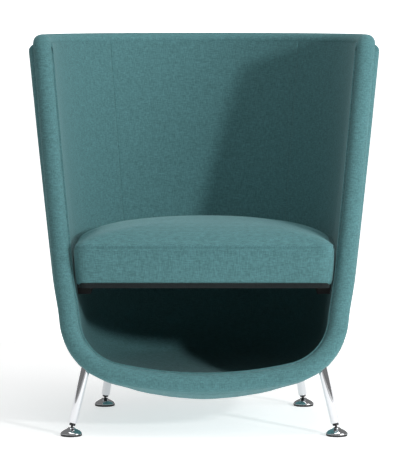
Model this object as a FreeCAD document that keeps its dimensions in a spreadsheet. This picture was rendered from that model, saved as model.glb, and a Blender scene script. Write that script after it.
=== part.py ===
# Acoustic high back lounge chair: an upholstered tub shell with a seat
# across it, an open storage hollow under the seat, and four splayed tube
# legs on levelling ball glides.
# Frame: +Z up, floor at Z = 0, the open front faces -Y, millimetres.
import FreeCAD, Part
import math
import os

Vector = FreeCAD.Vector
Rotation = FreeCAD.Rotation
Placement = FreeCAD.Placement

# Driving dimensions
SIZES = {
    # Shell: one U shaped section, swept forward round a pivot line near the
    # top and turned through half a circle behind it
    "pivot_above_top": 64.0,
    "pivot_back": -50.35,
    "keel_height": 60.0,
    "bend_radius": 158.0,
    "half_width": 327.0,
    "width_above_keel": 200.0,
    "side_flare": 6.0,
    "rim_lean": 18.8,
    "shell_top": 896.0,
    "edge_depth": 42.0,
    "cover_swell": 13.0,
    "core_depth": 12.0,
    "core_wall": 12.0,
    "skin_gap": 0.3,
    "lining_split": 318.0,
    "turn_step": 15.0,
    "lean_step": 6.3,
    "room_lean": 26.0,
    "bend_flats": 3.0,
    "cover_hole_play": 0.3,
    "bore_reach": 60.0,
    # Rolled edge
    "roll_thickness": 14.0,
    # Seams of the lining
    "seam_at_top": 231.0,
    "seam_slope": 0.075,
    # Seat
    "seat_bottom": 341.0,
    "seat_seam": 424.0,
    "seat_top": 454.0,
    "seat_rim": 12.0,
    "outline_step": 50.0,
    "seat_front": -276.0,
    "seat_play": 2.3,
    "seat_corner": 24.0,
    "cover_cloth": 3.0,
    "board_thickness": 12.0,
    "board_setback": 6.0,
    "cleat_height": 28.0,
    "cleat_reach": 30.0,
    "cleat_length": 190.0,
    "rear_cleat_length": 240.0,
    "rear_cleat_back": 4.0,
    # Legs
    "front_foot_side": 297.0,
    "front_foot_back": -292.0,
    "rear_foot_side": 239.0,
    "rear_foot_back": 108.0,
    "front_lean_side": 0.235,
    "front_lean_back": 0.13,
    "rear_lean_side": 0.16,
    "rear_lean_back": 0.22,
    "tube_radius": 10.0,
    "tube_wall": 1.5,
    "tube_start": 14.0,
    "tube_bite": 6.4,
    "plug_length": 24.0,
    "stud_radius": 5.0,
    "stud_length": 6.0,
    "round_flats": 24.0,
    "thread_flats": 12.0,
    # Glides
    "knuckle_height": 14.0,
    "knuckle_radius": 5.5,
    "knuckle_length": 11.0,
    "knuckle_play": 0.1,
    "neck_radius": 2.5,
    "tilt_room": 0.9,
    "collar_radius": 7.0,
    "collar_drop": 5.0,
    "disc_radius": 25.0,
    "disc_top": 19.0,
    "disc_crown": 9.0,
    "disc_shoulder": 18.0,
    "shoulder_height": 15.0,
    "disc_edge": 8.0,
    "pad_height": 5.0,
    "pad_radius": 24.0,
    "thread_radius": 4.0,
    "thread_play": 0.05,
    "thread_length": 26.0,
    "thread_short": 4.0,
    "collar_gap": 0.5,
}

doc = FreeCAD.newDocument("lounge_chair")
sheet = doc.addObject("Spreadsheet::Sheet", "Sizes")
for row, (alias, value) in enumerate(SIZES.items(), start=1):
    sheet.set("A%d" % row, alias)
    sheet.set("B%d" % row, str(value))
    sheet.setAlias("B%d" % row, alias)
doc.recompute()


def size(alias):
    return float(sheet.get(alias))


def bind(thing, prop, formula):
    """Tie a property to the sheet; names in the formula are aliases."""
    words = formula.split()
    bound = ["Sizes." + w if w in SIZES else w for w in words]
    thing.setExpression(prop, " ".join(bound))


# The shell's own frame has its origin on the pivot line
PIVOT = Vector(0, size("pivot_back"), size("shell_top") + size("pivot_above_top"))
BOWL_RADIUS = PIVOT.z - size("keel_height")
SHELL_FRAME = Placement(PIVOT, Rotation())

# Forms of the shell stop this far below the pivot line; forms that only cut
# lean further forward than the edge, and straight cuts reach past everything
TOP_MARGIN = -12.0
EXTRA_LEAN = 6.0
FAR = 1500.0


# Sketches and features
def origin_plane(body, role):
    return [f for f in body.Origin.OriginFeatures if f.Role == role][0]


def new_body(label, frame=None):
    body = doc.addObject("PartDesign::Body", label)
    body.Label = label
    if frame is not None:
        body.Placement = frame
    return body


def new_sketch(body, role, offset=None):
    sketch = body.newObject("Sketcher::SketchObject", "Sketch")
    sketch.AttachmentSupport = (origin_plane(body, role), "")
    sketch.MapMode = "FlatFace"
    if offset is not None:
        sketch.AttachmentOffset = offset
    return sketch


def segment(sketch, start, end):
    sketch.addGeometry(Part.LineSegment(Vector(*start, 0), Vector(*end, 0)), False)


def arc(sketch, centre, radius, first, last):
    """Arc between two angles measured from straight down, turning outward."""
    quarter = math.pi / 2
    circle = Part.Circle(Vector(*centre, 0), Vector(0, 0, 1), radius)
    low, high = sorted((first - quarter, last - quarter))
    sketch.addGeometry(Part.ArcOfCircle(circle, low, high), False)


def polygon(sketch, corners):
    for start, end in zip(corners, corners[1:] + corners[:1]):
        segment(sketch, start, end)


def pad(body, sketch, length_formula):
    feature = body.newObject("PartDesign::Pad", "Pad")
    feature.Profile = sketch
    bind(feature, "Length", length_formula)
    return feature


def cut_through(body, sketch):
    """Cut both ways from the sketch, through everything."""
    feature = body.newObject("PartDesign::Pocket", "Pocket")
    feature.Profile = sketch
    feature.Type = "ThroughAll"
    feature.Midplane = True
    return feature


def turn(body, sketch, axis, angle_formula, backwards=False):
    feature = body.newObject("PartDesign::Revolution", "Revolution")
    feature.Profile = sketch
    feature.ReferenceAxis = (sketch, [axis])
    bind(feature, "Angle", angle_formula)
    feature.Reversed = backwards
    return feature


# The U section of the shell
class Section:
    """Bowl arc, bend and flared side, a given depth inside the outer face.

    The pivot is the origin, and the second coordinate points up.
    """

    def __init__(self, depth, swell=0.0):
        bend = size("bend_radius")
        flare = math.radians(size("side_flare"))
        low = size("width_above_keel") - BOWL_RADIUS
        along = Vector(math.sin(flare), math.cos(flare), 0)
        inward = Vector(-math.cos(flare), math.sin(flare), 0)
        start = Vector(size("half_width"), low, 0) + inward * bend
        reach = BOWL_RADIUS - bend
        half = start.dot(along)
        step = -half - math.sqrt(half * half - start.dot(start) + reach * reach)
        self.centre = start + along * step
        self.bowl = BOWL_RADIUS - depth
        self.bend = bend - depth
        self.turn_in = math.atan2(self.centre.x, -self.centre.y)
        self.turn_out = math.pi / 2 - flare
        self.foot = self.centre - inward * self.bend
        self.along = along
        self.swell = swell

    def side(self, up):
        """Point of the side line at a height given from the pivot."""
        share = (up - self.foot.y) / self.along.y
        run = self.foot + self.along * share
        return run.x + self.swell * (up - self.foot.y) / -self.foot.y, up

    def corners(self, top):
        """The face drawn in flats: keel, corners of the bend, upper end."""
        points = [(0.0, -self.bowl)]
        flats = int(size("bend_flats"))
        for step in range(flats + 1):
            angle = self.turn_in + (self.turn_out - self.turn_in) * step / flats
            x = self.centre.x + self.bend * math.sin(angle)
            points.append((x, self.centre.y - self.bend * math.cos(angle)))
        points.append(self.side(top))
        return points


def draw_side(sketch, section, hand, top):
    """Half of one face of the shell, from the keel up to a height."""
    arc(sketch, (0, 0), section.bowl, 0, hand * section.turn_in)
    centre = (hand * section.centre.x, section.centre.y)
    arc(sketch, centre, section.bend, hand * section.turn_in, hand * section.turn_out)
    end = section.side(top)
    segment(sketch, (hand * section.foot.x, section.foot.y), (hand * end[0], end[1]))
    return hand * end[0], end[1]


def draw_band(sketch, outer, inner):
    """The whole U between two faces."""
    for hand in (1, -1):
        out_end = draw_side(sketch, outer, hand, TOP_MARGIN)
        in_end = draw_side(sketch, inner, hand, TOP_MARGIN)
        segment(sketch, out_end, in_end)


def draw_form(sketch, face, hands):
    """Closed outline of everything inside one face."""
    ends = [draw_side(sketch, face, hand, TOP_MARGIN) for hand in hands]
    if len(hands) == 2:
        segment(sketch, ends[0], ends[1])
    else:
        segment(sketch, ends[0], (0, TOP_MARGIN))
        segment(sketch, (0, TOP_MARGIN), (0, -face.bowl))


def sweep_form(body, face, hands, lean):
    """Turn the form behind the pivot line and swing it forward below it."""
    hand = hands[0]
    rear = new_sketch(body, "XZ_Plane")
    draw_form(rear, face, (hand,))
    angle = "180" if len(hands) == 2 else "90"
    turn(body, rear, "V_Axis", angle, backwards=hand < 0)
    front = new_sketch(body, "XZ_Plane")
    draw_form(front, face, hands)
    turn(body, front, "H_Axis", lean, backwards=True)


def side_cut(body, corners):
    """Cut straight across the chair; the corners are from the pivot."""
    sketch = new_sketch(body, "YZ_Plane")
    polygon(sketch, corners)
    return cut_through(body, sketch)


def trim_top(body, setback):
    """Cut level, a setback below the top of the chair."""
    top = size("shell_top") - setback - PIVOT.z
    side_cut(body, [(-FAR, top), (FAR, top), (FAR, FAR), (-FAR, FAR)])


def bore(body, frame, radius, length):
    """Hole in flats along a frame's Z axis, both ways from its origin."""
    local = body.Placement.inverse().multiply(frame)
    sketch = new_sketch(body, "XY_Plane", local)
    sides = round(size("thread_flats"))
    corner = radius / math.cos(math.pi / sides)
    turns = [2 * math.pi * step / sides for step in range(sides)]
    polygon(sketch, [(corner * math.cos(angle), corner * math.sin(angle)) for angle in turns])
    feature = body.newObject("PartDesign::Pocket", "Pocket")
    feature.Profile = sketch
    feature.Length = 2 * length
    feature.Midplane = True
    return feature


# Legs: a frame for each, with its origin in the knuckle of the glide and its
# Z axis up along the tube
def leg_frame(front, hand):
    end = "front" if front else "rear"
    side = size(end + "_foot_side")
    back = size(end + "_foot_back")
    lean_side = size(end + "_lean_side")
    lean_back = size(end + "_lean_back") * (1 if front else -1)
    up = Vector(-hand * lean_side, lean_back, 1)
    place = Vector(hand * side, back, size("knuckle_height"))
    return Placement(place, Rotation(Vector(0, 0, 1), up))


LEGS = {
    "front_left": leg_frame(True, -1),
    "front_right": leg_frame(True, 1),
    "rear_left": leg_frame(False, -1),
    "rear_right": leg_frame(False, 1),
}


def shifted(frame, along):
    return frame.multiply(Placement(Vector(0, 0, along), Rotation()))


def plain(label, shape):
    """A piece whose faces are worked out here from the sizes."""
    piece = doc.addObject("Part::Feature", label)
    piece.Label = label
    piece.Shape = shape
    return piece


def joined(kind, label, base, tool):
    piece = doc.addObject("Part::" + kind, label)
    piece.Label = label
    piece.Base = base
    piece.Tool = tool
    return piece


# Solids made of flat faces
def flat(points):
    return Part.Face(Part.makePolygon(points + points[:1]))


def sewn(faces, tolerance=1e-3):
    skin = Part.Compound(faces)
    skin.sewShape(tolerance)
    return Part.makeSolid(skin.Shells[0])


# Hidden faces of the shell are flats, laid on the same corners at every depth
def flat_form(depth, lean):
    """Everything inside one face, in flats, a little past the open edge."""
    corners = Section(depth).corners(TOP_MARGIN)
    turns = round(180 / size("turn_step"))
    leans = math.ceil(lean / size("lean_step"))
    faces = []

    def behind(corner, step):
        angle = math.radians(180 * step / turns)
        return Vector(corner[0] * math.cos(angle), corner[0] * math.sin(angle), corner[1])

    def ahead(corner, hand, step):
        angle = math.radians(size("lean_step") * step)
        return Vector(hand * corner[0], corner[1] * math.sin(angle), corner[1] * math.cos(angle))

    for low, high in zip(corners, corners[1:]):
        for step in range(turns):
            points = [behind(low, step), behind(high, step), behind(high, step + 1)]
            if low[0] > 0:
                points.append(behind(low, step + 1))
            faces.append(flat(points))
        for step in range(leans):
            for hand in (1, -1):
                faces.append(flat([ahead(low, hand, step), ahead(high, hand, step),
                                   ahead(high, hand, step + 1), ahead(low, hand, step + 1)]))
    top = corners[-1]
    faces.append(flat([behind(top, step) for step in range(turns + 1)]))
    for step in range(leans):
        faces.append(flat([ahead(top, 1, step), ahead(top, -1, step),
                           ahead(top, -1, step + 1), ahead(top, 1, step + 1)]))
    front = [ahead(corner, 1, leans) for corner in corners]
    front += [ahead(corner, -1, leans) for corner in reversed(corners[1:])]
    faces.append(flat(front))
    form = sewn(faces)
    form.Placement = SHELL_FRAME
    return form


def slab(corners):
    """Solid right across the chair; its outline is side on, from the pivot."""
    outline = flat([Vector(-FAR, y, z) for y, z in corners])
    solid = outline.extrude(Vector(2 * FAR, 0, 0))
    solid.Placement = SHELL_FRAME
    return solid


def shell_bounds(low=0.0):
    """Room behind the front edge, below the top roll and above a height."""
    top = size("shell_top") - size("roll_thickness") - PIVOT.z
    lean = math.tan(math.radians(size("rim_lean")))
    bottom = low - PIVOT.z
    return slab([(top * lean, top), (FAR, top), (FAR, bottom), (bottom * lean, bottom)])


def find_tube_ends():
    """How far up its axis each tube runs: a short bite into the core."""
    core = flat_form(size("core_depth") + size("skin_gap"), size("rim_lean") + EXTRA_LEAN)
    ends = {}
    for leg, frame in LEGS.items():
        axis = Part.makeLine(frame.Base, shifted(frame, PIVOT.z / 2).Base)
        inside = axis.common(core)
        first = min((vertex.Point - frame.Base).Length for vertex in inside.Vertexes)
        ends[leg] = first + size("tube_bite")
    return ends


def leg_bores(radius, sides, back, ahead):
    """Bars along the four leg axes, back and ahead of the ends of the tubes."""
    bars = []
    outline = [(0, 0), (radius, 0), (radius, back + ahead), (0, back + ahead)]
    for leg, frame in LEGS.items():
        bar = round_in_flats(outline, sides)
        bar.Placement = shifted(frame, TUBE_ENDS[leg] - back)
        bars.append(bar)
    return bars


TUBE_ENDS = find_tube_ends()


# Shell pieces
def outer_cover(label, hand):
    """Padded outside half, fuller towards the top than the edge."""
    form = new_body("form_of_" + label, SHELL_FRAME)
    sweep_form(form, Section(0.0, swell=size("cover_swell")), (hand,), "rim_lean")
    trim_top(form, size("roll_thickness"))
    for leg, frame in LEGS.items():
        if frame.Base.x * hand > 0:
            radius = size("tube_radius") + size("cover_hole_play")
            bore(form, shifted(frame, TUBE_ENDS[leg]), radius, size("bore_reach"))
    return joined("Cut", label, form, core_room)


def shell_core():
    """Moulded shell that carries the legs, the seat and the upholstery."""
    outer = size("core_depth") + size("skin_gap")
    lean = size("rim_lean")
    shape = flat_form(outer, lean).cut(flat_form(outer + size("core_wall"), lean + EXTRA_LEAN))
    shape = shape.common(shell_bounds())
    reach = size("bore_reach")
    play = size("thread_play")
    bars = leg_bores(size("tube_radius") + play, size("round_flats"), reach, 0)
    bars += leg_bores(size("stud_radius") + play, size("thread_flats"), 0, reach)
    for bar in bars:
        shape = shape.cut(bar)
    return plain("shell_core", shape.Solids[0])


def lining_back_form():
    back = size("core_depth") + size("core_wall") + 2 * size("skin_gap")
    return flat_form(back, size("rim_lean"))


def lining_hollow():
    """Lining of the storage hollow, up to a joint behind the seat board."""
    shape = lining_back_form().cut(flat_form(size("edge_depth"), size("rim_lean") + EXTRA_LEAN))
    shape = shape.common(shell_bounds())
    low = size("lining_split") - PIVOT.z
    shape = shape.cut(slab([(-FAR, low), (FAR, low), (FAR, 0), (-FAR, 0)]))
    return plain("lining_hollow", shape.Solids[0])


def between_seams(play):
    """Room between the two seams of the lining, narrower by a play."""
    points = []
    for z, hand in ((0.0, -1), (0.0, 1), (size("shell_top"), 1), (size("shell_top"), -1)):
        x = size("seam_at_top") - size("seam_slope") * (size("shell_top") - z) + play
        points.append(Vector(hand * x, -FAR, z))
    return flat(points).extrude(Vector(0, 2 * FAR, 0))


def lining_panels():
    """Back panel and two wing panels, sewn to each other at the seams."""
    shape = lining_back_form().common(shell_bounds(size("lining_split") + size("skin_gap")))
    shape = shape.cut(seating_room.Shape)
    back = shape.common(between_seams(0.0))
    wings = shape.cut(between_seams(size("skin_gap"))).Solids
    wings.sort(key=lambda solid: solid.CenterOfMass.x)
    return [
        plain("lining_back", back.Solids[0]),
        plain("lining_wing_left", wings[0]),
        plain("lining_wing_right", wings[-1]),
    ]


def rim_sketch(body):
    """Sketch in the plane of the front edge, which holds the pivot line."""
    lean = Placement(Vector(0, 0, 0), Rotation(Vector(1, 0, 0), -size("rim_lean")))
    return new_sketch(body, "XZ_Plane", lean)


def edge_roll():
    """Padded roll round the whole open edge, the top included."""
    body = new_body("edge_roll", SHELL_FRAME)
    outer = Section(0.0)
    inner = Section(size("edge_depth"))
    face = rim_sketch(body)
    draw_band(face, outer, inner)
    pad(body, face, "roll_thickness")
    low = size("shell_top") - size("roll_thickness") - PIVOT.z
    corners = [outer.side(low), outer.side(TOP_MARGIN), inner.side(TOP_MARGIN), inner.side(low)]
    rear = new_sketch(body, "XZ_Plane")
    polygon(rear, corners)
    turn(body, rear, "V_Axis", "180")
    for hand in (1, -1):
        front = new_sketch(body, "XZ_Plane")
        polygon(front, [(hand * x, z) for x, z in corners])
        turn(body, front, "H_Axis", "rim_lean", backwards=True)
    trim_top(body, 0.0)
    return body


# Seat: board, foam and cover
def seat_outline(sketch, inset):
    """Round behind the pivot line, narrowing a little to the front corners."""
    wall = Section(size("edge_depth"))
    front = size("seat_front") - size("pivot_back") + inset
    drop = size("seat_bottom") - PIVOT.z
    play = size("seat_play") + inset
    radius = wall.side(drop)[0] - play
    half = wall.side(-math.hypot(drop, front - inset))[0] - play
    corner = size("seat_corner") - inset
    circle = Part.Circle(Vector(0, 0, 0), Vector(0, 0, 1), radius)
    sketch.addGeometry(Part.ArcOfCircle(circle, 0, math.pi), False)
    slope = math.atan2(radius - half, -front)
    middle_x = half - corner / math.cos(slope) + corner * math.tan(slope)
    middle_y = front + corner
    reach = Vector(math.cos(slope), -math.sin(slope), 0) * corner
    for hand in (1, -1):
        centre = Vector(hand * middle_x, middle_y, 0)
        side_end = centre + Vector(hand * reach.x, reach.y, 0)
        segment(sketch, (hand * radius, 0), (side_end.x, side_end.y))
        round_edge = Part.Circle(centre, Vector(0, 0, 1), corner)
        if hand > 0:
            ends = (-math.pi / 2, -slope)
        else:
            ends = (math.pi + slope, 3 * math.pi / 2)
        sketch.addGeometry(Part.ArcOfCircle(round_edge, *ends), False)
    segment(sketch, (middle_x, front), (-middle_x, front))


def seat_layer(label, low, thickness_formula, insets):
    """Level layer of the seat from a height up; a second inset hollows it."""
    body = new_body(label, Placement(Vector(0, size("pivot_back"), low), Rotation()))
    sketch = new_sketch(body, "XY_Plane")
    for inset in insets:
        seat_outline(sketch, inset)
    pad(body, sketch, thickness_formula)
    return body


def seat_pieces():
    cloth = size("cover_cloth")
    gap = size("skin_gap")
    low = size("seat_bottom")
    board_low = low - size("board_thickness")
    board = seat_layer("seat_board", board_low, "board_thickness - skin_gap", (size("board_setback"),))
    foam = seat_layer("seat_foam", low, "seat_seam - seat_bottom", (cloth + gap,))
    border = seat_layer("seat_border", low, "seat_seam - seat_bottom", (0.0, cloth))
    return [board, foam, border, seat_top_panel()]


def outline_corners(inset):
    """The seat outline in short straights, from the right side round."""
    sketch = doc.addObject("Sketcher::SketchObject", "outline_of_top_panel")
    seat_outline(sketch, inset)
    doc.recompute()
    wire = Part.Wire(Part.sortEdges(sketch.Shape.Edges)[0])
    corners = []
    for edge in wire.OrderedEdges:
        straight = isinstance(edge.Curve, Part.Line)
        count = 2 if straight else max(2, round(edge.Length / size("outline_step")) + 1)
        points = edge.discretize(count)
        if edge.Orientation == "Reversed":
            points.reverse()
        corners += points[:-1]
    return corners


# Rings of the crown: share of the outline, and how fast the top falls to it
CROWN_SHARES = (0.96, 0.86, 0.68, 0.42)
CROWN_POWER = 2.4


def seat_top_panel():
    """Padded top of the cushion: level rings of flats, rising to the crown."""
    low = size("seat_seam") + size("skin_gap")
    rim = low + size("seat_rim")
    rise = size("seat_top") - rim
    corners = outline_corners(0.0)
    rings = [(1.0, low), (1.0, rim)]
    rings += [(share, rim + rise * (1 - share ** CROWN_POWER)) for share in CROWN_SHARES]

    def ring(share, height):
        return [Vector(p.x * share, p.y * share + size("pivot_back"), height) for p in corners]

    loops = [ring(*each) for each in rings]
    faces = [flat(loops[0]), flat(loops[-1])]
    for lower, upper in zip(loops, loops[1:]):
        for step in range(len(lower)):
            after = (step + 1) % len(lower)
            faces.append(flat([lower[step], lower[after], upper[after], upper[step]]))
    return plain("seat_top_panel", sewn(faces))


def cleats():
    """Battens on the lining that the seat board rests on."""
    low = size("seat_bottom") - size("board_thickness") - size("cleat_height")
    high = low + size("cleat_height") - size("skin_gap")
    first = -size("cleat_length") / 2
    room = flat_form(size("edge_depth") + size("skin_gap"), size("rim_lean"))
    bottom, top = low - PIVOT.z, high - PIVOT.z
    room = room.common(slab([(-FAR, bottom), (FAR, bottom), (FAR, top), (-FAR, top)]))
    inner_side = Section(size("edge_depth")).side(bottom)[0] - size("cleat_reach")
    pieces = []
    for label, hand in (("cleat_left", -1), ("cleat_right", 1)):
        block = Part.makeBox(FAR, size("cleat_length"), size("cleat_height"))
        x = inner_side if hand > 0 else -inner_side - FAR
        block.Placement.Base = Vector(x, PIVOT.y + first, low)
        pieces.append(plain(label, room.common(block).Solids[0]))
    block = Part.makeBox(size("rear_cleat_length"), FAR, size("cleat_height"))
    y = PIVOT.y + inner_side - size("rear_cleat_back")
    block.Placement.Base = Vector(-size("rear_cleat_length") / 2, y, low)
    pieces.append(plain("cleat_rear", room.common(block).Solids[0]))
    return pieces


# Legs, in flats
def round_in_flats(points, sides):
    """Solid about Z in flats; an outline clear of Z makes a ring."""
    faces = []
    sides = round(sides)

    def at(point, step):
        angle = 2 * math.pi * step / sides
        return Vector(point[0] * math.cos(angle), point[0] * math.sin(angle), point[1])

    pairs = list(zip(points, points[1:]))
    if points[0][0] > 0:
        pairs.append((points[-1], points[0]))
    for low, high in pairs:
        if low[0] == 0 or high[0] == 0:
            edge = high if low[0] == 0 else low
            faces.append(flat([at(edge, step) for step in range(sides)]))
            continue
        for step in range(sides):
            faces.append(flat([at(low, step), at(low, step + 1), at(high, step + 1), at(high, step)]))
    return sewn(faces, 1e-4)


def hollow_outline(outer, inner, length):
    return [(outer, 0), (outer, length), (inner, length), (inner, 0)]


def tube(leg, frame):
    inner = size("tube_radius") - size("tube_wall")
    length = TUBE_ENDS[leg] - size("tube_start")
    shape = round_in_flats(hollow_outline(size("tube_radius"), inner, length), size("round_flats"))
    shape.Placement = shifted(frame, size("tube_start"))
    return plain("leg_" + leg, shape)


def plugs_and_studs():
    """Upper plug of each leg, with the stud that screws into the core."""
    solids = []
    plug = size("tube_radius") - size("tube_wall")
    end = size("plug_length")
    stud = size("stud_radius")
    tip = end + size("stud_length")
    outline = [(0, 0), (plug, 0), (plug, end), (stud, end), (stud, tip), (0, tip)]
    for leg, frame in LEGS.items():
        both = round_in_flats(outline, size("thread_flats"))
        both.Placement = shifted(frame, TUBE_ENDS[leg] - end)
        solids.append(both)
    return plain("leg_plugs", Part.Compound(solids))


def end_bushes():
    """Threaded bush in the lower end of each leg."""
    solids = []
    outer = size("tube_radius") - size("tube_wall")
    hole = size("thread_radius") + size("thread_play")
    outline = hollow_outline(outer, hole, size("thread_length"))
    for frame in LEGS.values():
        bush = round_in_flats(outline, size("thread_flats"))
        bush.Placement = shifted(frame, size("tube_start"))
        solids.append(bush)
    return plain("leg_bushes", Part.Compound(solids))


# Glides: a knuckle on the stem turns in the disc, about a level axis square
# to the lean of the leg
def lean_turn(frame):
    """Turn about Z that brings X to the way the leg leans."""
    up = frame.Rotation.multVec(Vector(0, 0, 1))
    return Rotation(Vector(0, 0, 1), math.degrees(math.atan2(up.y, up.x)))


def glide_stem(leg, frame):
    """Threaded stem with a collar, a neck and a knuckle at its lower end."""
    neck = size("neck_radius")
    collar = size("collar_radius")
    thread = size("thread_radius")
    low = size("tube_start") - size("collar_drop")
    high = size("tube_start") - size("collar_gap")
    end = size("tube_start") + size("thread_length") - size("thread_short")
    outline = [(0, 0), (neck, 0), (neck, low), (collar, low), (collar, high),
               (thread, high), (thread, end), (0, end)]
    shape = round_in_flats(outline, size("thread_flats"))
    knuckle = Part.makeCylinder(size("knuckle_radius"), size("knuckle_length"))
    level = Placement(Vector(0, size("knuckle_length") / 2, 0), Rotation(Vector(1, 0, 0), 90))
    knuckle.Placement = Placement(Vector(0, 0, 0), lean_turn(frame)).multiply(level)
    shape = shape.fuse(knuckle)
    shape.Placement = frame
    return plain("glide_stem_" + leg, shape.Solids[0])


def upright(frame, height=0.0):
    return Placement(Vector(frame.Base.x, frame.Base.y, height), lean_turn(frame))


def glide_disc(leg, frame):
    """Domed disc with the socket that holds the knuckle."""
    rim = size("disc_radius")
    low = size("pad_height")
    outline = [(0, low), (rim, low), (rim, size("disc_edge")),
               (size("disc_shoulder"), size("shoulder_height")),
               (size("disc_crown"), size("disc_top")), (0, size("disc_top"))]
    dome = round_in_flats(outline, size("round_flats"))
    centre = size("knuckle_height")
    play = size("knuckle_play")
    length = size("knuckle_length") + 2 * play
    socket = Part.makeCylinder(size("knuckle_radius") + play, length)
    socket.Placement = Placement(Vector(0, length / 2, centre), Rotation(Vector(1, 0, 0), 90))
    up = frame.Rotation.multVec(Vector(0, 0, 1))
    rise = size("disc_top") - centre
    middle = rise * math.hypot(up.x, up.y) / up.z
    half = size("neck_radius") + size("tilt_room")
    slot = Part.makeBox(2 * half, 2 * half, 2 * rise)
    slot.Placement.Base = Vector(middle - half, -half, centre)
    shape = dome.cut(socket).cut(slot)
    shape.Placement = upright(frame)
    return plain("glide_disc_" + leg, shape.Solids[0])


def glide_pad(leg, frame):
    rim = size("pad_radius")
    high = size("pad_height")
    shape = round_in_flats([(0, 0), (rim, 0), (rim, high), (0, high)], size("round_flats"))
    shape.Placement = upright(frame)
    return plain("glide_pad_" + leg, shape)


core_room = plain("room_for_core", flat_form(size("core_depth"), size("rim_lean") + EXTRA_LEAN))
seating_room = new_body("room_between_linings", SHELL_FRAME)
sweep_form(seating_room, Section(size("edge_depth")), (1, -1), "room_lean")
doc.recompute()

pieces = [
    outer_cover("outer_cover_left", -1),
    outer_cover("outer_cover_right", 1),
    shell_core(),
    lining_hollow(),
    edge_roll(),
    plugs_and_studs(),
    end_bushes(),
]
pieces += lining_panels() + seat_pieces() + cleats()
for leg, frame in LEGS.items():
    pieces += [tube(leg, frame), glide_stem(leg, frame)]
    pieces += [glide_disc(leg, frame), glide_pad(leg, frame)]
doc.recompute()

# Nothing is written unless every feature and every piece is sound
faults = []
for thing in doc.Objects:
    if "Invalid" in thing.State or "Error" in thing.State:
        faults.append("%s: %s" % (thing.Label, thing.State))
for piece in pieces:
    if piece.Shape.isNull() or not piece.Shape.isValid():
        faults.append("%s: unsound shape" % piece.Label)
if faults:
    raise SystemExit("not written: " + "; ".join(faults))
os.makedirs("parts", exist_ok=True)
for piece in pieces:
    piece.Shape.exportStep("parts/%s.step" % piece.Label)
    print(piece.Label, len(piece.Shape.Solids), round(piece.Shape.Volume / 1000, 1), "cm3")
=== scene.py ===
# %% [markdown]
# # Acoustic high back lounge chair
# The solids of this chair come packed from CAD and are loaded as a fixed
# frame. Each step below dresses one piece with a fuller mesh and a finish.

# %% Load the frame
import math
import bmesh
import bpy
from mathutils import Matrix, Vector


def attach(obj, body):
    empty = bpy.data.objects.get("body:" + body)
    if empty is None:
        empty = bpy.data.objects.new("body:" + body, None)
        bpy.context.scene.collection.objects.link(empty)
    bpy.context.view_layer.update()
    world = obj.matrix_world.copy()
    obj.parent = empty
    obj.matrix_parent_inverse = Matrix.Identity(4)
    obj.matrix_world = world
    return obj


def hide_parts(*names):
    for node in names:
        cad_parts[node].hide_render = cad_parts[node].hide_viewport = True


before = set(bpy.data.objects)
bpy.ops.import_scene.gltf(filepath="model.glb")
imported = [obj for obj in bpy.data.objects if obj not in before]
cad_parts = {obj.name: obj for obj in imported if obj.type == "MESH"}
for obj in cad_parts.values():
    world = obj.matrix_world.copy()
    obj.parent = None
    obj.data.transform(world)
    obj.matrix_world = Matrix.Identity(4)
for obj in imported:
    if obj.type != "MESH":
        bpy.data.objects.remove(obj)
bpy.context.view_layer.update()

# %% [markdown]
# ## The shell as a swept section
# The tub is one U shaped section: a wide bowl arc at the bottom, a tighter
# bend, and a side that flares. Behind a pivot line it turns round like a
# bowl on a wheel. In front it swings forward to the leaning open edge.
# Written as two small functions, it gives any face of the wall at any depth.

# %% Measures of the shell
PIVOT = Vector((0.0, -0.05035, 0.960))
BOWL, BEND = 0.9035, 0.158
HALF_WIDTH, WIDTH_HEIGHT = 0.327, 0.200
FLARE, LEAN = math.radians(6.0), math.radians(18.8)
WALL = 0.042
SWELL = 0.013
FULLNESS = 0.0045
JOINT_TOP = 0.877
CORNER = 0.030

start_r = HALF_WIDTH - math.cos(FLARE) * BEND
start_h = WIDTH_HEIGHT - BOWL + math.sin(FLARE) * BEND
half = start_r * math.sin(FLARE) + start_h * math.cos(FLARE)
reach = BOWL - BEND
run = -half - math.sqrt(half * half - start_r ** 2 - start_h ** 2 + reach * reach)
BEND_R = start_r + run * math.sin(FLARE)
BEND_H = start_h + run * math.cos(FLARE)
TURN_IN = math.atan2(BEND_R, -BEND_H)
TURN_OUT = math.pi / 2 - FLARE
FOOT_H = BEND_H - math.sin(FLARE) * BEND
print("bend centre", round(BEND_R, 4), round(BEND_H, 4))

# %% [markdown]
# The side is a little fuller in the middle of its height, as padded cloth
# is. The section is a list of points, and place carries one of them round.

# %% Points of the section
def side_radius(height):
    """Radius of the flared side of the outer face at a height from the pivot."""
    foot = BEND_R + math.cos(FLARE) * BEND
    rise = max(0.0, (height - FOOT_H) / -FOOT_H)
    start = min(1.0, rise / 0.15)
    fuller = FULLNESS * start * start * (3 - 2 * start) * (1 - 1.3 * max(0.0, rise - 0.5))
    return foot + (height - FOOT_H) * math.tan(FLARE) + fuller


def section(top, bowl_steps=8, bend_steps=14, side_steps=24):
    """Outer face from the keel up: radius, height and outward normal."""
    points = []
    for i in range(bowl_steps):
        a = TURN_IN * i / bowl_steps
        points.append((BOWL * math.sin(a), -BOWL * math.cos(a), math.sin(a), -math.cos(a)))
    for i in range(bend_steps):
        a = TURN_IN + (TURN_OUT - TURN_IN) * i / bend_steps
        r, h = math.sin(a), -math.cos(a)
        points.append((BEND_R + BEND * r, BEND_H + BEND * h, r, h))
    for i in range(side_steps + 1):
        h = FOOT_H + (top - FOOT_H) * i / side_steps
        points.append((side_radius(h), h, math.cos(FLARE), -math.sin(FLARE)))
    return points


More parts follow.
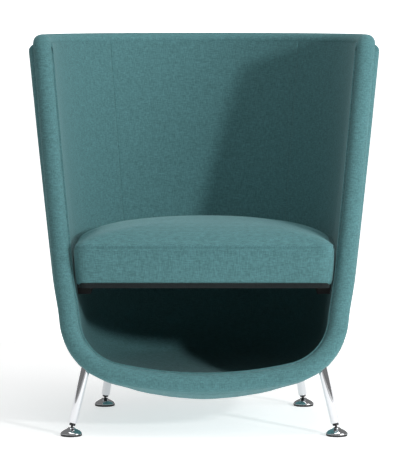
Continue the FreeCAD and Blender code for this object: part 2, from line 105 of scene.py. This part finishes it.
def place(turn, radius, height):
    """Section point carried round: below 0 and past pi it swings forward."""
    if turn < 0:
        return Vector((radius, height * math.sin(-turn), height * math.cos(turn)))
    if turn > math.pi:
        swing = turn - math.pi
        return Vector((-radius, height * math.sin(swing), height * math.cos(swing)))
    return Vector((radius * math.cos(turn), radius * math.sin(turn), height))


# %% [markdown]
# ## From rows of points to cloth
# Every upholstered panel here is a grid: rows of points joined by faces.
# Where two panels are sewn together their edges dip under by a few
# millimetres, so the seam is a real groove instead of a painted line.

# %% Panels from rows of points
SAME_POINT = 0.00005


def smooth(obj):
    for polygon in obj.data.polygons:
        polygon.use_smooth = True
    return obj


def new_object(name, mesh):
    obj = bpy.data.objects.new(name, mesh)
    bpy.context.scene.collection.objects.link(obj)
    return obj


def grid_piece(name, rows, closed=False):
    """Mesh from equal rows of points; closed joins each row's two ends."""
    count = len(rows[0])
    verts = [tuple(point) for row in rows for point in row]
    faces = []
    for i in range(len(rows) - 1):
        for j in range(count if closed else count - 1):
            k = (j + 1) % count
            low, high = i * count, (i + 1) * count
            faces.append((low + j, low + k, high + k, high + j))
    mesh = bpy.data.meshes.new(name)
    mesh.from_pydata(verts, [], faces)
    mesh.update()
    obj = new_object(name, mesh)
    tidy = bmesh.new()
    tidy.from_mesh(mesh)
    bmesh.ops.remove_doubles(tidy, verts=tidy.verts, dist=SAME_POINT)
    bmesh.ops.recalc_face_normals(tidy, faces=tidy.faces)
    tidy.to_mesh(mesh)
    tidy.free()
    return smooth(obj)


def thicken(obj, thickness):
    """Gives a panel the thickness of its padding, behind its face."""
    shell = obj.modifiers.new("padding", "SOLIDIFY")
    shell.thickness = thickness
    shell.offset = -1
    split = obj.modifiers.new("edges", "EDGE_SPLIT")
    split.split_angle = math.radians(50)
    return obj


def even(first, last, count):
    return [first + (last - first) * i / count for i in range(count + 1)]


def edge_close(values, edge):
    """Adds points close to both ends, so that a seam dip stays narrow."""
    first, last = values[0], values[-1]
    sign = 1 if last > first else -1
    extra = [first + sign * edge * s for s in (0.25, 0.55, 1.0)]
    extra += [last - sign * edge * s for s in (1.0, 0.55, 0.25)]
    return sorted(values + extra, reverse=sign < 0)


# %% [markdown]
# ## Corner of the open edge
# Where the leaning front edge meets the level top edge the roll turns a
# rounded corner. Panels that end under it are pulled back to the same curve.

# %% The rounded corner
TOP_H = JOINT_TOP - PIVOT.z
CORNER_Z = TOP_H - CORNER
CORNER_Y = (CORNER + CORNER_Z * math.sin(LEAN)) / math.cos(LEAN)


def inside_corner(point, setback):
    """Pulls a point of the wall back inside the rounded corner."""
    y, z = point.y - CORNER_Y, point.z - CORNER_Z
    if y < 0 and y * math.sin(LEAN) + z * math.cos(LEAN) > 0:
        length = math.hypot(y, z)
        limit = CORNER - setback
        if length > limit:
            point = Vector((point.x, CORNER_Y + y * limit / length, CORNER_Z + z * limit / length))
    return point


# %% [markdown]
# ## Woven wool
# The cover is a coarse melange weave: threads of slightly different teals
# crossing each other. Two stretched noises in the object's own space give
# warp and weft, and the same pair raises the threads, so light catches them.

# %% Fabric finish
TEAL = (0.082, 0.200, 0.212)
SHEEN = (0.55, 0.8, 0.82, 1.0)
WARP, WEFT = (1350, 1350, 210), (210, 330, 1350)
THREAD_HEIGHT = 0.0012


def new_material(name):
    """Material with its node tree and its shader."""
    material = bpy.data.materials.new(name)
    material.use_nodes = True
    tree = material.node_tree
    return material, tree, tree.nodes["Principled BSDF"]


def shade(colour, share):
    return tuple(c * share for c in colour)


def fabric(name, colour, dark=0.76, light=1.23, bump=0.45):
    """Cloth of crossed threads, between a dark and a light share of a colour."""
    material, tree, shader = new_material(name)
    shader.inputs["Roughness"].default_value = 0.92
    shader.inputs["Sheen Weight"].default_value = 0.22
    shader.inputs["Sheen Roughness"].default_value = 0.45
    shader.inputs["Sheen Tint"].default_value = SHEEN
    shader.inputs["Specular IOR Level"].default_value = 0.2
    space = tree.nodes.new("ShaderNodeTexCoord")
    threads = []
    for stretch in (WARP, WEFT):
        scale = tree.nodes.new("ShaderNodeMapping")
        scale.inputs["Scale"].default_value = stretch
        tree.links.new(space.outputs["Object"], scale.inputs["Vector"])
        noise = tree.nodes.new("ShaderNodeTexNoise")
        noise.inputs["Scale"].default_value = 0.42
        noise.inputs["Detail"].default_value = 2.0
        tree.links.new(scale.outputs["Vector"], noise.inputs["Vector"])
        threads.append(noise)
    weave = tree.nodes.new("ShaderNodeMath")
    weave.operation = "ADD"
    tree.links.new(threads[0].outputs["Fac"], weave.inputs[0])
    tree.links.new(threads[1].outputs["Fac"], weave.inputs[1])
    tone = tree.nodes.new("ShaderNodeValToRGB")
    for element, position, share in zip(tone.color_ramp.elements, (0.36, 0.64), (dark, light)):
        element.position = position
        element.color = (*shade(colour, share), 1)
    halve = tree.nodes.new("ShaderNodeMath")
    halve.operation = "MULTIPLY"
    halve.inputs[1].default_value = 0.5
    tree.links.new(weave.outputs[0], halve.inputs[0])
    tree.links.new(halve.outputs[0], tone.inputs["Fac"])
    tree.links.new(tone.outputs["Color"], shader.inputs["Base Color"])
    raised = tree.nodes.new("ShaderNodeBump")
    raised.inputs["Strength"].default_value = bump
    raised.inputs["Distance"].default_value = THREAD_HEIGHT
    tree.links.new(halve.outputs[0], raised.inputs["Height"])
    tree.links.new(raised.outputs["Normal"], shader.inputs["Normal"])
    return material


teal_cloth = fabric("teal_cloth", TEAL)
# The lining and the hollow get the same teal 3% darker: painted shade for the inside of the tub.
painted_shade_cloth = fabric("teal_cloth_painted_shade", shade(TEAL, 0.97))
print("cloth materials made")


def dress(obj, material, body="chair", stands_for=()):
    """Finish, material slot, body and the CAD nodes a piece stands for."""
    obj.data.materials.clear()
    obj.data.materials.append(material)
    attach(obj, body)
    if stands_for:
        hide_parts(*stands_for)
    return obj


# %% [markdown]
# ## Outer covers
# Two padded halves meet in a seam down the middle of the back. They swell
# outside the rolled edge near the top and tuck under it, so the swelling
# fades over the last two centimetres before the edge. Either side of the
# keel the cloth is drawn in a little, which gives the belly a blunt V.

# %% Outer cover halves
SETBACK = 0.007
SWELL_RUN = 0.022
TUCK_DEPTH, TUCK_RUN = 0.005, 0.016
COVER_SEAM_DEPTH, COVER_SEAM_HALF = 0.0035, 0.004
KEEL_FADE = 0.035
KEEL_SHAPE = ((0.0, -0.0025), (0.06, -0.0008), (0.125, 0.0018), (0.195, 0.0072),
              (0.24, 0.0072), (0.285, 0.002), (0.31, 0.0))


def keel_dip(radius):
    """How much deeper the cloth lies between the keel and the bends."""
    for (r0, d0), (r1, d1) in zip(KEEL_SHAPE, KEEL_SHAPE[1:]):
        if radius < r1:
            share = (radius - r0) / (r1 - r0)
            return d0 + (d1 - d0) * share * share * (3 - 2 * share)
    return 0.0


def outer_point(turn, row):
    """Point of the padded outside, from a row of the section."""
    radius, height, nr, nh = row
    swing = max(0.0, -turn, turn - math.pi)
    top = TOP_H / math.cos(swing)
    to_top = max(0.0, (top - SETBACK) - height)
    to_front = 1.0
    if turn < 0 or turn > math.pi:
        to_front = (LEAN - swing) * -height
    tuck = min(to_top, to_front)
    rise = max(0.0, (height - FOOT_H) / -FOOT_H)
    pillow = math.sqrt(max(0.0, 1 - (1 - min(tuck / SWELL_RUN, 1.0)) ** 2))
    radius += SWELL * rise * pillow
    depth = TUCK_DEPTH * (1 - min(tuck / TUCK_RUN, 1.0)) ** 2
    seam = abs(turn - math.pi / 2) * max(radius, 0.02)
    depth += COVER_SEAM_DEPTH * math.exp(-(seam / COVER_SEAM_HALF) ** 2)
    if height < FOOT_H:
        depth += keel_dip(radius) * min(1.0, to_front / KEEL_FADE)
    point = place(turn, radius - nr * depth, height - nh * depth)
    return inside_corner(point, SETBACK) + PIVOT


def outer_cover(name, first, last):
    """Half of the outside, with extra points close to its seam and edges."""
    turns = even(first, last, 56)
    towards = first + last - math.pi
    turns += [math.pi / 2 + math.copysign(step, towards) for step in (0.006, 0.013, 0.024)]
    ends = (-LEAN, math.pi + LEAN)
    turns += [e + s for e in ends for s in (-0.03, -0.012, 0.012, 0.03) if first < e + s < last]
    turns = sorted(set(turns))
    columns = []
    for turn in turns:
        swing = max(0.0, -turn, turn - math.pi)
        rows = section(TOP_H / math.cos(swing) - SETBACK, side_steps=40)
        top_row = rows[-1]
        near = []
        for back in (0.020, 0.014, 0.009, 0.005, 0.002):
            h = top_row[1] - back
            near.append((side_radius(h), h, top_row[2], top_row[3]))
        rows = rows[:-2] + near + [top_row]
        columns.append([outer_point(turn, row) for row in rows])
    return thicken(grid_piece(name, columns), 0.006)


cover_right = outer_cover("outer_cover_right_cloth", -LEAN, math.pi / 2)
cover_left = outer_cover("outer_cover_left_cloth", math.pi / 2, math.pi + LEAN)
dress(cover_right, teal_cloth, stands_for=["outer_cover_right"])
dress(cover_left, teal_cloth, stands_for=["outer_cover_left"])
print("outer cover points", len(cover_right.data.vertices))

# %% [markdown]
# ## Rolled edge
# One padded roll runs down each front edge, under the open hollow and round
# the top of the back. It is a half round swept along that closed path. Each
# station of the path has a point, the wall's normal and the way out of it.

# %% Stations along the edge
ROLL = WALL / 2


def station(point, normal, out):
    out = (out - normal * out.dot(normal)).normalized()
    return point, normal.normalized(), out


def wall_station(y, z, out):
    """Station on the swung side wall, y and z from the pivot line."""
    height = -math.hypot(y, z)
    swing = math.atan2(-y, -z)
    slope = -math.sin(FLARE)
    normal = Vector((math.cos(FLARE), slope * math.sin(swing), slope * math.cos(swing)))
    return station(Vector((side_radius(height), y, z)) - normal * ROLL, normal, out)


def right_half_path():
    """Stations from the keel up the front edge, round the corner, to the back."""
    path = []
    foot_y, foot_z = CORNER_Y - CORNER * math.cos(LEAN), CORNER_Z + CORNER * math.sin(LEAN)
    corner_foot = -math.hypot(foot_y, foot_z)
    forward = Vector((0, -math.cos(LEAN), math.sin(LEAN)))
    for radius, height, nr, nh in section(corner_foot, 14, 26, 40)[:-1]:
        normal = Vector((nr, nh * math.sin(LEAN), nh * math.cos(LEAN)))
        path.append(station(place(-LEAN, radius, height) - normal * ROLL, normal, forward))
    for i in range(13):
        a = (math.pi / 2 - LEAN) * i / 12
        out = Vector((0, -math.cos(LEAN + a), math.sin(LEAN + a)))
        path.append(wall_station(CORNER_Y + CORNER * out.y, CORNER_Z + CORNER * out.z, out))
    up = Vector((0, 0, 1))
    path.append(wall_station(CORNER_Y / 2, TOP_H, up))
    radius = side_radius(TOP_H)
    for i in range(49):
        turn = math.pi / 2 * i / 48
        level = math.cos(FLARE)
        normal = Vector((level * math.cos(turn), level * math.sin(turn), -math.sin(FLARE)))
        path.append(station(place(turn, radius, TOP_H) - normal * ROLL, normal, up))
    return path


def mirrored(each):
    return tuple(Vector((-v.x, v.y, v.z)) for v in each)


right_path = right_half_path()
whole_path = right_path + [mirrored(s) for s in reversed(right_path[1:-1])]
print("stations of the roll", len(whole_path))

# %% [markdown]
# Across a station the roll is a half round, a little flat at the crest. Its
# inner flank runs back under the lining and its outer one under the cover.

# %% Roll swept along the path
INNER_FLANK = [(-0.0180, -0.0140), (-0.0207, -0.0120)]
OUTER_FLANK = [(0.0195, -0.0095), (0.0165, -0.0120)]
CREST = 0.05


def roll_outline():
    """Pairs of the way across the wall and the way out of it."""
    half_round = []
    for i in range(17):
        a = math.pi * i / 16
        flat = 1 - CREST * math.sin(a) ** 4
        half_round.append((-math.cos(a) * ROLL, math.sin(a) * ROLL * flat - SETBACK))
    return INNER_FLANK + half_round + OUTER_FLANK


def roll_ring(each):
    point, normal, out = each
    return [point + normal * across + out * along + PIVOT for across, along in roll_outline()]


rings = [roll_ring(each) for each in whole_path + whole_path[:1]]
roll = grid_piece("edge_roll_cloth", rings, closed=True)
dress(roll, teal_cloth, stands_for=["edge_roll"])
print("roll points", len(roll.data.vertices))

# %% [markdown]
# ## Lining
# Inside, a back panel and two wing panels meet in two slanting seams. Below
# the seat one more panel lines the open hollow. All lie 42 mm inside the
# outer face. The edges dip at the seams and run smoothly into the roll.

# %% Lining panels
SEAM_X, SEAM_SLOPE, SEAM_TOP = 0.231, 0.075, 0.896
SEAM_DIP, SEAM_HALF = 0.0055, 0.0032
OVERLAP = 0.002
LINING_LOW, HOLLOW_HIGH = 0.335, 0.336


def seam_turn(height):
    """Angle of the seam round the back, at a height from the pivot."""
    z = height + PIVOT.z
    x = SEAM_X - SEAM_SLOPE * (SEAM_TOP - z)
    return math.acos(x / (side_radius(height) - WALL / math.cos(FLARE)))


def edge_turn(height):
    """Swing at which the lining meets the roll, for a level height."""
    return LEAN + (SETBACK - OVERLAP) * math.cos(LEAN) / height


def inner_point(turn, height, dip):
    radius = side_radius(height) - (WALL + dip) / math.cos(FLARE)
    point = place(turn, radius, height)
    return inside_corner(point, SETBACK) + PIVOT


def lining_panel(name, first_of, last_of, count, tuck_first=True, tuck_last=True):
    """Panel between two edges, each given as an angle for a height."""
    heights = edge_close(even(LINING_LOW - PIVOT.z, TOP_H - SETBACK + OVERLAP, 40), 0.008)
    rows = []
    for height in heights:
        first, last = first_of(height), last_of(height)
        turns = edge_close(even(first, last, count), 0.013)
        row = []
        for turn in turns:
            swing = max(0.0, -turn, turn - math.pi)
            h = height / math.cos(swing)
            gap_first = abs(turn - first) * 0.3 if tuck_first else 1
            gap_last = abs(turn - last) * 0.3 if tuck_last else 1
            gap = min(gap_first, gap_last)
            dip = -SEAM_DIP * max(0.0, 1 - gap / SEAM_HALF) ** 2
            row.append(inner_point(turn, h, dip))
        rows.append(row)
    return thicken(grid_piece(name, rows), 0.004)


def right_edge(height):
    return -edge_turn(height)


def left_seam(height):
    return math.pi - seam_turn(height)


def left_edge(height):
    return math.pi + edge_turn(height)


lining_back = lining_panel("lining_back_cloth", seam_turn, left_seam, 40)
wing_right = lining_panel("lining_wing_right_cloth", right_edge, seam_turn, 36, tuck_first=False)
wing_left = lining_panel("lining_wing_left_cloth", left_seam, left_edge, 36, tuck_last=False)
dress(lining_back, painted_shade_cloth, stands_for=["lining_back"])
dress(wing_right, painted_shade_cloth, stands_for=["lining_wing_right"])
dress(wing_left, painted_shade_cloth, stands_for=["lining_wing_left"])
print("lining panels made")

# %% [markdown]
# The hollow is lined in one piece, from edge to edge under the seat.

# %% Lining of the hollow
def hollow_lining():
    turns = even(-LEAN, 0, 8)[:-1] + even(0, math.pi, 64)
    turns += even(math.pi, math.pi + LEAN, 8)[1:]
    columns = []
    for turn in turns:
        column = []
        for radius, height, nr, nh in section(HOLLOW_HIGH - PIVOT.z, side_steps=10):
            limit = LEAN + (SETBACK - OVERLAP) / height
            held = max(-limit, min(math.pi + limit, turn))
            point = place(held, radius - nr * WALL, height - nh * WALL)
            column.append(point + PIVOT)
        columns.append(column)
    return thicken(grid_piece("lining_hollow_cloth", columns), 0.004)


hollow = hollow_lining()
dress(hollow, painted_shade_cloth, stands_for=["lining_hollow"])
print("hollow lining points", len(hollow.data.vertices))

# %% [markdown]
# ## Seat cushion
# The cushion is a thick D shaped block with a crowned top and a stitched
# seam round its top edge. A plain block goes through a short cloth
# simulation under pressure, as a filled cover does, and the seam is drawn in
# afterwards because remeshing would wipe it out.

# %% Cushion outline
SEAT_LOW, SEAT_SEAM, SEAT_TOP = 0.3315, 0.418, 0.458
SEAT_FRONT = -0.274
SEAT_CENTRE = PIVOT.y
SEAT_RADIUS, SEAT_HALF, SEAT_CORNER = 0.294, 0.2925, 0.026
SEAT_LEVELS = ((-0.004, SEAT_LOW), (0.000, SEAT_LOW + 0.006), (0.002, SEAT_LOW + 0.04),
               (0.003, SEAT_SEAM - 0.012), (0.003, SEAT_SEAM), (0.000, SEAT_SEAM + 0.006))
CROWN_SHARES = (0.97, 0.92, 0.84, 0.72, 0.55, 0.35, 0.15)
CROWN_POWER = 3.2


def seat_edge(grow):
    """Outline of the cushion, from the right side round the back."""
    radius, half, corner = SEAT_RADIUS + grow, SEAT_HALF + grow, SEAT_CORNER
    front = SEAT_FRONT - SEAT_CENTRE - grow * 0.3
    straight = half - corner
    points = []
    for i in range(61):
        a = math.pi * i / 60
        points.append((radius * math.cos(a), radius * math.sin(a)))
    for i in range(1, 12):
        points.append((-radius + (radius - half) * i / 12, (front + corner) * i / 12))
    for i in range(13):
        a = math.pi + math.pi / 2 * i / 12
        points.append((-straight + corner * math.cos(a), front + corner + corner * math.sin(a)))
    for i in range(1, 20):
        points.append((-straight + 2 * straight * i / 20, front))
    for i in range(13):
        a = 1.5 * math.pi + math.pi / 2 * i / 12
        points.append((straight + corner * math.cos(a), front + corner + corner * math.sin(a)))
    for i in range(1, 12):
        points.append((half + (radius - half) * i / 12, (front + corner) * (12 - i) / 12))
    return points


def seat_block():
    """Closed block of rings: the sides, then the crown, with two end faces."""
    rings = []
    for grow, z in SEAT_LEVELS:
        rings.append([(x, y + SEAT_CENTRE, z) for x, y in seat_edge(grow)])
    shoulder = SEAT_LEVELS[-1][1]
    for share in CROWN_SHARES:
        z = shoulder + (SEAT_TOP - shoulder) * (1 - share ** CROWN_POWER)
        rings.append([(x * share, y * share + SEAT_CENTRE, z) for x, y in seat_edge(0.0)])
    count = len(rings[0])
    verts = [p for ring in rings for p in ring]
    faces = [tuple(reversed(range(count)))]
    for i in range(len(rings) - 1):
        for j in range(count):
            k = (j + 1) % count
            low, high = i * count, (i + 1) * count
            faces.append((low + j, low + k, high + k, high + j))
    faces.append(tuple(range((len(rings) - 1) * count, len(rings) * count)))
    mesh = bpy.data.meshes.new("seat_cushion")
    mesh.from_pydata(verts, [], faces)
    mesh.update()
    return smooth(new_object("seat_cushion", mesh))


cushion = seat_block()
print("block points", len(cushion.data.vertices))

# %% [markdown]
# The block is remeshed evenly and inflated as cloth for twenty frames. The
# swell is then held to a few millimetres, so that the cushion stays between
# the wings.

# %% Fill the cushion
SWELL_LIMIT = 0.006
ROOM_RADIUS, ROOM_HALF = 0.2975, 0.2985


def apply_all(obj):
    """Makes the modifiers' result the object's own mesh."""
    dg = bpy.context.evaluated_depsgraph_get()
    finished = bpy.data.meshes.new_from_object(obj.evaluated_get(dg))
    obj.modifiers.clear()
    obj.data = finished
    return smooth(obj)


def held_in(new):
    """The nearest place for a point within the room that the wings leave."""
    new.z = max(new.z, SEAT_LOW)
    sideways = Vector((new.x, new.y - SEAT_CENTRE))
    if new.y > SEAT_CENTRE and sideways.length > ROOM_RADIUS:
        sideways *= ROOM_RADIUS / sideways.length
        new.x, new.y = sideways.x, sideways.y + SEAT_CENTRE
    new.x = max(-ROOM_HALF, min(ROOM_HALF, new.x))
    new.y = max(SEAT_FRONT - SWELL_LIMIT, new.y)
    return new


def fill_out(obj, voxel, pressure):
    """Remesh, inflate as cloth for a few frames, and hold back the swell."""
    remesh = obj.modifiers.new("remesh", "REMESH")
    remesh.mode = "VOXEL"
    remesh.voxel_size = voxel
    apply_all(obj)
    before = [v.co.copy() for v in obj.data.vertices]
    cloth = obj.modifiers.new("cloth", "CLOTH")
    cloth.settings.use_pressure = True
    cloth.settings.uniform_pressure_force = pressure
    cloth.settings.effector_weights.gravity = 0
    cloth.settings.quality = 5
    scene = bpy.context.scene
    for number in range(1, 21):
        scene.frame_set(number)
    apply_all(obj)
    scene.frame_set(1)
    for vertex, old in zip(obj.data.vertices, before):
        move = vertex.co - old
        if move.length > SWELL_LIMIT:
            move *= SWELL_LIMIT / move.length
        vertex.co = held_in(old + move)


fill_out(cushion, voxel=0.006, pressure=4.0)
finer = cushion.modifiers.new("finer", "SUBSURF")
finer.levels = finer.render_levels = 1
apply_all(cushion)
print("cushion points", len(cushion.data.vertices))

# %% [markdown]
# At the height of the seam every side point is pulled in by a short bell
# curve, backwards on the front face and towards the middle elsewhere.

# %% Draw in the seam
SEAM_PULL = 0.0022
SIDE_REACH, FRONT_BAND = 0.24, 0.02

for vertex in cushion.data.vertices:
    co = vertex.co
    pull = SEAM_PULL * math.exp(-((co.z - SEAT_SEAM) / SEAM_PULL) ** 2)
    away = Vector((co.x, co.y - SEAT_CENTRE, 0))
    if co.y < SEAT_FRONT + FRONT_BAND:
        vertex.co.y += pull
    elif away.length > SIDE_REACH:
        vertex.co -= away.normalized() * pull
cushion.data.update()
# The cushion gets the same teal 4% lighter: painted light for the seat top, which faces the light
# from above.
painted_light_seat_cloth = fabric("teal_cloth_seat_painted_light", shade(TEAL, 1.04))
dress(cushion, painted_light_seat_cloth, stands_for=["seat_foam", "seat_border", "seat_top_panel"])

# %% [markdown]
# ## Stitching
# Two rows of short stitches run along the seam of the cushion, one each side
# of it. Each stitch is a small rounded bead laid along the edge.

# %% Stitch rows
STITCH_PITCH, STITCH_LENGTH, STITCH_RADIUS = 0.0052, 0.0036, 0.00055
ROWS = (("seat_stitches_low", SEAT_SEAM - 0.0055, 0.0032),
        ("seat_stitches_high", SEAT_SEAM + 0.0050, 0.0012))


def bead(tidy, start, end):
    """Long bead between two points."""
    axis = end - start
    turn = Vector((0, 0, 1)).rotation_difference(axis.normalized()).to_matrix().to_4x4()
    scale = Matrix.Diagonal((STITCH_RADIUS, STITCH_RADIUS, axis.length / 2, 1))
    place_it = Matrix.Translation((start + end) / 2) @ turn @ scale
    bmesh.ops.create_icosphere(tidy, subdivisions=1, radius=1, matrix=place_it)


def stitch_row(name, z, grow):
    """Beads at an even pitch along the sides and front of the cushion."""
    outline = [Vector((x, y + SEAT_CENTRE, z)) for x, y in seat_edge(grow)]
    outline = outline[60:] + outline[:1]
    tidy = bmesh.new()
    carry = 0.0
    for a, b in zip(outline, outline[1:]):
        span = (b - a).length
        at = carry
        while at < span - STITCH_LENGTH:
            bead(tidy, a.lerp(b, at / span), a.lerp(b, (at + STITCH_LENGTH) / span))
            at += STITCH_PITCH
        carry = max(0.0, at - span)
    mesh = bpy.data.meshes.new(name)
    tidy.to_mesh(mesh)
    tidy.free()
    return smooth(new_object(name, mesh))


thread_cloth = fabric("teal_thread", shade(TEAL, 0.8), bump=0.1)
for name, z, grow in ROWS:
    stitches = dress(stitch_row(name, z, grow), thread_cloth)
    print(name, len(stitches.data.vertices))

# %% [markdown]
# ## Metal and hard parts
# Polished chrome mirrors the pale room, so it needs little more than a low
# roughness and a trace of unevenness. The glide bases are black plastic.

# %% Hard finishes
def hard(name, colour, metallic, roughness, grain=0.02, scale=60.0):
    """Smooth finish whose roughness varies a little from place to place."""
    material, tree, shader = new_material(name)
    shader.inputs["Base Color"].default_value = (*colour, 1)
    shader.inputs["Metallic"].default_value = metallic
    space = tree.nodes.new("ShaderNodeTexCoord")
    noise = tree.nodes.new("ShaderNodeTexNoise")
    noise.inputs["Scale"].default_value = scale
    tree.links.new(space.outputs["Object"], noise.inputs["Vector"])
    spread = tree.nodes.new("ShaderNodeMapRange")
    spread.inputs["To Min"].default_value = max(0.0, roughness - grain)
    spread.inputs["To Max"].default_value = roughness + grain
    tree.links.new(noise.outputs["Fac"], spread.inputs["Value"])
    tree.links.new(spread.outputs["Result"], shader.inputs["Roughness"])
    return material


chrome = hard("polished_chrome", (0.72, 0.73, 0.75), 1.0, 0.08)
black_plastic = hard("black_plastic", (0.012, 0.012, 0.013), 0.0, 0.45, 0.08, 300)
black_steel = hard("black_oxide_steel", (0.03, 0.03, 0.032), 0.6, 0.4)
zinc = hard("zinc_steel", (0.5, 0.5, 0.5), 1.0, 0.35)
# The cleats are near black: painted shade for the dark space under the seat.
painted_shade_plywood = hard("plywood_painted_shade", (0.02, 0.02, 0.02), 0.0, 0.6, 0.1, 25)
foam_core = hard("moulded_core", (0.25, 0.25, 0.24), 0.0, 0.8)
# The seat board gets near black cloth: painted shade for the dark space under the seat.
painted_shade_under_cloth = fabric("under_seat_cloth_painted_shade", (0.012, 0.016, 0.017), bump=0.2)
FINISH = {"shell_core": foam_core, "seat_board": painted_shade_under_cloth, "cleat_left": painted_shade_plywood, "cleat_right": painted_shade_plywood,
          "cleat_rear": painted_shade_plywood, "leg_plugs": zinc, "leg_bushes": zinc}
for node, material in FINISH.items():
    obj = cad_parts[node]
    obj.data.materials.clear()
    obj.data.materials.append(material)
print("solids kept as they are", len(FINISH))

# %% [markdown]
# ## Legs and glides
# Each leg is a round chrome tube. Under it sit a black collar and neck, a
# domed chrome disc and a black base. All are turned shapes, so each is one
# outline spun round its axis.

# %% Turned pieces
def turned(name, outline, place_it, steps=48):
    """Spins an outline of radius and height pairs round the axis."""
    rows = []
    for radius, height in outline:
        ring = []
        for i in range(steps):
            a = 2 * math.pi * i / steps
            ring.append(place_it @ Vector((radius * math.cos(a), radius * math.sin(a), height)))
        rows.append(ring)
    obj = grid_piece(name, rows, closed=True)
    mark = obj.modifiers.new("edges", "EDGE_SPLIT")
    mark.split_angle = math.radians(40)
    return obj


# Foot, lean and length of each leg, then outlines as radius and height pairs
LEG_DATA = {
    "front_left": ((-0.297, -0.29235, 0.014), (0.235, 0.13), 0.160),
    "front_right": ((0.297, -0.29235, 0.014), (-0.235, 0.13), 0.160),
    "rear_left": ((-0.239, 0.10765, 0.014), (0.16, -0.22), 0.123),
    "rear_right": ((0.239, 0.10765, 0.014), (-0.16, -0.22), 0.123),
}
TUBE = [(0.0, 0.0143), (0.0085, 0.0143), (0.0096, 0.0147), (0.01, 0.0155)]
COLLAR = [(0.0, 0.002), (0.0025, 0.002), (0.0025, 0.0085), (0.0058, 0.0088),
          (0.007, 0.0096), (0.007, 0.0125), (0.0062, 0.0137), (0.0, 0.0137)]
DISC = [(0.0, 0.0192), (0.0045, 0.0192), (0.0068, 0.0188), (0.0082, 0.0172),
        (0.0105, 0.0157), (0.0150, 0.0139), (0.0195, 0.0115), (0.0228, 0.0090),
        (0.0246, 0.0068), (0.0250, 0.0056), (0.0246, 0.0050), (0.0, 0.0050)]
BASE = [(0.0, 0.0048), (0.0236, 0.0048), (0.0241, 0.0040),
        (0.0241, 0.0008), (0.0236, 0.0), (0.0, 0.0)]

for leg, (foot, lean, end) in LEG_DATA.items():
    up = Vector((lean[0], lean[1], 1)).normalized()
    along = Matrix.Translation(foot) @ Vector((0, 0, 1)).rotation_difference(up).to_matrix().to_4x4()
    upright = Matrix.Translation((foot[0], foot[1], 0))
    tube = turned("leg_" + leg + "_tube", TUBE + [(0.01, end), (0.0, end)], along)
    dress(tube, chrome, stands_for=["leg_" + leg])
    stem = turned("glide_" + leg + "_collar", COLLAR, along)
    dress(stem, black_steel, "stem_" + leg, ["glide_stem_" + leg])
    disc = turned("glide_" + leg + "_dome", DISC, upright)
    dress(disc, chrome, "foot_" + leg, ["glide_disc_" + leg])
    base = turned("glide_" + leg + "_base", BASE, upright)
    dress(base, black_plastic, "foot_" + leg, ["glide_pad_" + leg])
print("legs made", len(LEG_DATA))

# %% [markdown]
# ## Room and light
# A white floor runs out of view behind the chair and glows a little, like a
# light table. The floor in front stays grey, so little light comes up from
# the front. A small key light at the front right makes the shadow of the
# right wing. A soft one from the side and one overhead fill it in.

# %% Floor and lights
FLOOR_GLOW, FAR_GLOW = 0.58, 1.0
ROOM_LIGHT = 0.22
WHITE, GREY = 0.80, 0.55
NEAR, FAR, REACH = -0.85, 1.2, 60


def stage_sheet(name, corners, colour, glow):
    """Pale sheet of the room, faintly lit from within as a light table is."""
    mesh = bpy.data.meshes.new(name)
    mesh.from_pydata(corners, [], [(0, 1, 2, 3)])
    obj = new_object(name, mesh)
    paint = hard(name + "_paint", (colour, colour, colour), 0.0, 0.7)
    shader = paint.node_tree.nodes["Principled BSDF"]
    shader.inputs["Emission Color"].default_value = (1, 1, 1, 1)
    shader.inputs["Emission Strength"].default_value = glow
    mesh.materials.append(paint)


def strip(y0, y1):
    return [(-30, y0, 0), (30, y0, 0), (30, y1, 0), (-30, y1, 0)]


stage_sheet("apron", strip(-12, NEAR), GREY, 0.0)
stage_sheet("floor", strip(NEAR, FAR), WHITE, FLOOR_GLOW)
stage_sheet("far_floor", strip(FAR, REACH), WHITE, FAR_GLOW)
wall = [(-30, 59, -1), (30, 59, -1), (30, 59, 12), (-30, 59, 12)]
stage_sheet("backdrop", wall, WHITE, FAR_GLOW)

world = bpy.context.scene.world or bpy.data.worlds.new("room")
bpy.context.scene.world = world
world.use_nodes = True
world.node_tree.nodes["Background"].inputs["Color"].default_value = (1.0, 1.0, 1.0, 1)
world.node_tree.nodes["Background"].inputs["Strength"].default_value = ROOM_LIGHT


def area_light(name, location, target, size, power):
    data = bpy.data.lights.new(name, "AREA")
    data.shape = "SQUARE"
    data.size = size
    data.energy = power
    obj = new_object(name, data)
    obj.location = location
    obj.rotation_mode = "QUATERNION"
    obj.rotation_quaternion = (Vector(target) - Vector(location)).to_track_quat("-Z", "Y")


area_light("key", (2.40, -2.83, 1.45), (0, 0, 0.6), 0.25, 66)
area_light("side", (2.70, -1.40, 1.60), (0, 0, 0.6), 1.6, 34)
area_light("overhead", (0.2, -0.4, 3.2), (0, 0, 0.4), 2.2, 42)
print("lights and sheets placed")

# %% [markdown]
# ## Camera
# The camera looks slightly down from a little above the top of the back. Its
# lens follows from the picture's height and the perspective of the chair,
# both in pixels.

# %% Camera
PICTURE_HEIGHT, DISTANCE_PIXELS, DROP_PIXELS = 470, 2331, 225
TILT = math.atan(DROP_PIXELS / DISTANCE_PIXELS)
camera_data = bpy.data.cameras.new("camera")
camera_data.sensor_width = 36
camera_data.lens = camera_data.sensor_width * DISTANCE_PIXELS / math.cos(TILT) / PICTURE_HEIGHT
camera = new_object("camera", camera_data)
camera.location = (0.0033, -5.46535, 0.950)
camera.rotation_euler = (math.pi / 2 - TILT, 0, 0)
bpy.context.scene.camera = camera
bpy.context.scene.view_settings.view_transform = "Standard"
print("lens", round(camera_data.lens, 2))
